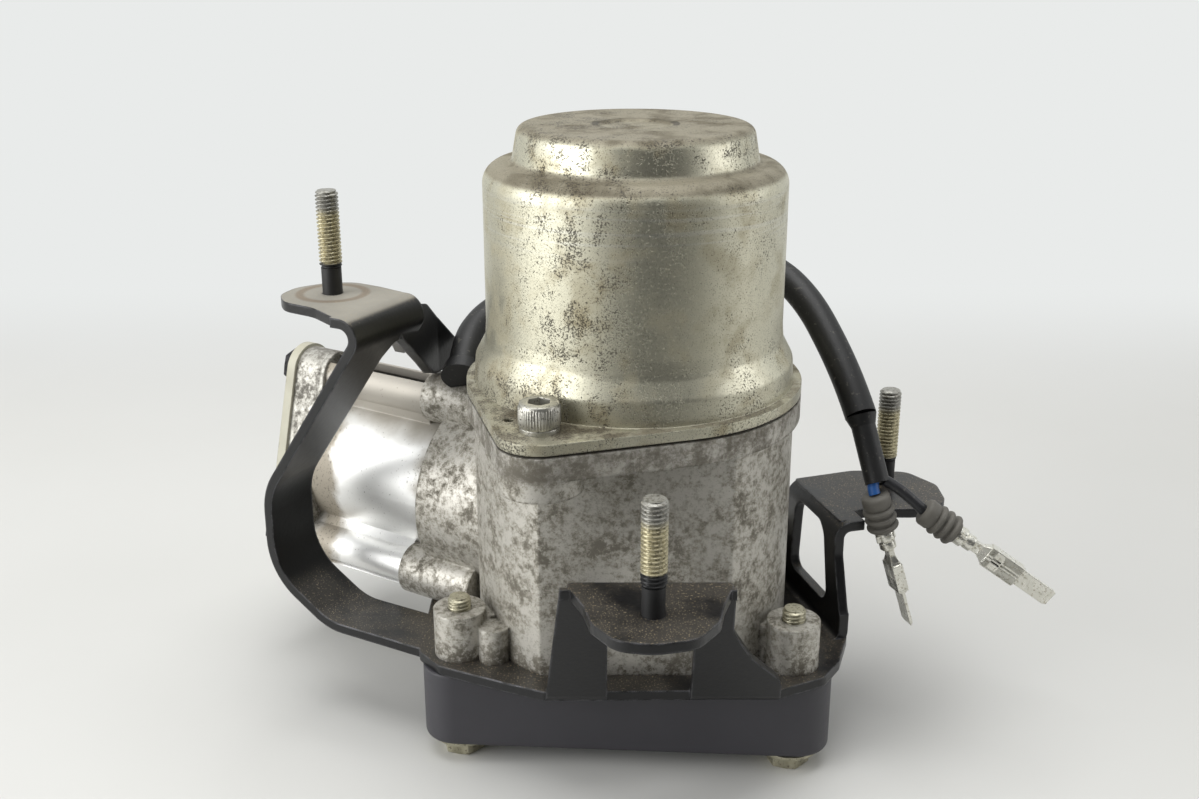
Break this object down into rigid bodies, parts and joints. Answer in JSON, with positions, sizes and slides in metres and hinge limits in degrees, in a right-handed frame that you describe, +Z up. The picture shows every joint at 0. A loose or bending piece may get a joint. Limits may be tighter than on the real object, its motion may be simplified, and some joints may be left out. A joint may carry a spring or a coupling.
{
  "type": "electric vacuum pump",
  "caption": "Electric vacuum pump: upright drawn motor can on a cast crankcase with a side cylinder, in a folded bracket with fixing studs and a short lead.",
  "frame": {"origin": "motor axis where it meets the flat underside of the base cover", "axes": "+Z up along the motor shaft, -Y towards the front stud, +X towards the right stud"},
  "size_m": [0.2212, 0.1724, 0.162],
  "materials": {
    "cover_paint": "satin",
    "bracket_paint": "satin",
    "cast_aluminium": "as cast",
    "gasket_fibre": "matt",
    "can_steel": "zinc plated",
    "bronze": "plain",
    "bright_aluminium": "polished",
    "black_rubber": "matt",
    "dark_steel": "blackened",
    "spring_steel": "ground",
    "head_aluminium": "machined",
    "zinc_steel": "zinc plated",
    "head_paint": "satin",
    "copper": "plain",
    "magnet_ferrite": "matt",
    "insulator": "matt",
    "wire_jacket": "satin",
    "grey_rubber": "satin",
    "tinned_metal": "tinned",
    "stud_steel": "zinc plated"
  },
  "bodies": {
    "pump_body": {"base_cover": "cover_paint", "mounting_bracket": "bracket_paint", "pump_housing": "cast_aluminium", "motor_gasket": "gasket_fibre", "motor_can": "can_steel", "top_bush": "bronze", "cylinder_barrel": "bright_aluminium", "barrel_seal": "black_rubber", "valve_plate": "dark_steel", "suction_reed": "spring_steel", "outlet_reed": "spring_steel", "cylinder_head": "head_aluminium", "suction_nipple": "zinc_steel", "head_plate": "head_paint", "left_magnet": "magnet_ferrite", "right_magnet": "magnet_ferrite", "brush_plate": "insulator", "left_brush": "magnet_ferrite", "right_brush": "magnet_ferrite", "bearing_outer_ring": "spring_steel", "bearing_balls": "spring_steel", "lead_grommet": "black_rubber", "lead_sleeve": "black_rubber", "lead_boot": "black_rubber", "short_wire": "wire_jacket", "long_wire": "wire_jacket", "short_seal": "grey_rubber", "long_seal": "grey_rubber", "short_terminal": "tinned_metal", "long_terminal": "tinned_metal", "base_bolt_front_left": "zinc_steel", "base_bolt_front_right": "zinc_steel", "base_bolt_rear_right": "zinc_steel", "base_bolt_rear_left": "zinc_steel", "motor_screw_front": "zinc_steel", "motor_screw_rear": "zinc_steel", "front_stud": "stud_steel", "left_stud": "stud_steel", "right_stud": "stud_steel", "long_bolt_top": "dark_steel", "long_bolt_rear": "dark_steel", "long_bolt_front": "dark_steel"},
    "rotor": {"armature_shaft": "spring_steel", "armature_core": "dark_steel", "upper_coil": "copper", "lower_coil": "copper", "commutator": "copper", "bearing_inner_ring": "spring_steel", "crank_web": "dark_steel"},
    "piston": {"piston": "head_aluminium", "piston_ring": "insulator", "wrist_pin": "spring_steel"},
    "rod": {"connecting_rod": "head_aluminium", "needle_bearing": "spring_steel", "crank_pin": "spring_steel"}
  },
  "joints": [
    {"name": "crank_spin", "type": "hinge", "parent": "pump_body", "child": "rotor", "pos_m": [0, 0, 0], "axis": [0, 0, 1], "continuous": true},
    {"name": "piston_stroke", "type": "slide", "parent": "pump_body", "child": "piston", "axis": [0.848, -0.5299, 0], "range_m": [0, 0.024]},
    {"name": "rod_swing", "type": "hinge", "parent": "piston", "child": "rod", "pos_m": [-0.07276, 0.04547, 0.0495], "axis": [0, 0, 1], "range_deg": [-9.3, 9.3]}
  ]
}
